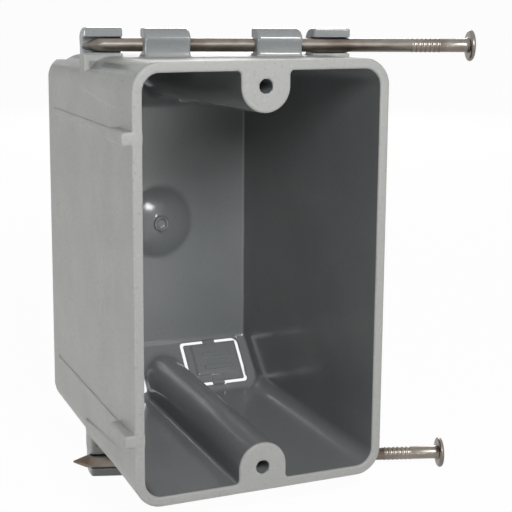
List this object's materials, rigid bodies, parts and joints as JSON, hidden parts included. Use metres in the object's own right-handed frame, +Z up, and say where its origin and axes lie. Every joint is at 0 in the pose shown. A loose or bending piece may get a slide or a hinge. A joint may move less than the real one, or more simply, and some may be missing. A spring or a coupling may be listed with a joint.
{
  "type": "electrical junction box",
  "caption": "Single-gang nail-on switch box: a deep moulded PVC box with screw bosses, push-in cable flaps and captive angled nails in moulded clips.",
  "frame": {"origin": "midway between the two device screw holes, in the plane of the front rim", "axes": "+X to the right seen from the front and away from the stud, +Y from the front rim into the box, +Z up"},
  "size_m": [0.0891, 0.0714, 0.1058],
  "materials": {
    "box_pvc": "satin moulded grey PVC",
    "flap_pvc": "satin moulded grey PVC",
    "nail_steel": "bright drawn steel"
  },
  "bodies": {
    "box": {"box_body": "box_pvc"},
    "upper_nail": {"upper_nail": "nail_steel"},
    "lower_nail": {"lower_nail": "nail_steel"},
    "lower_left_flap": {"lower_left_flap": "flap_pvc"},
    "lower_right_flap": {"lower_right_flap": "flap_pvc"},
    "upper_left_flap": {"upper_left_flap": "flap_pvc"},
    "upper_right_flap": {"upper_right_flap": "flap_pvc"}
  },
  "joints": [
    {"name": "upper_nail_drive", "type": "slide", "parent": "box", "child": "upper_nail", "axis": [-0.95, 0.3123, 0], "range_m": [0, 0.0258]},
    {"name": "lower_nail_drive", "type": "slide", "parent": "box", "child": "lower_nail", "axis": [-0.95, 0.3123, 0], "range_m": [0, 0.0219]},
    {"name": "lower_left_flap_hinge", "type": "hinge", "parent": "box", "child": "lower_left_flap", "pos_m": [-0.01425, 0.06028, -0.04226], "axis": [1, 0, 0], "range_deg": [0, 60], "stiffness_Nm_per_rad": 0.002},
    {"name": "lower_right_flap_hinge", "type": "hinge", "parent": "box", "child": "lower_right_flap", "pos_m": [0.01425, 0.06028, -0.04226], "axis": [1, 0, 0], "range_deg": [0, 60], "stiffness_Nm_per_rad": 0.002},
    {"name": "upper_left_flap_hinge", "type": "hinge", "parent": "box", "child": "upper_left_flap", "pos_m": [-0.01425, 0.06028, 0.04226], "axis": [-1, 0, 0], "range_deg": [0, 60], "stiffness_Nm_per_rad": 0.002},
    {"name": "upper_right_flap_hinge", "type": "hinge", "parent": "box", "child": "upper_right_flap", "pos_m": [0.01425, 0.06028, 0.04226], "axis": [-1, 0, 0], "range_deg": [0, 60], "stiffness_Nm_per_rad": 0.002}
  ]
}
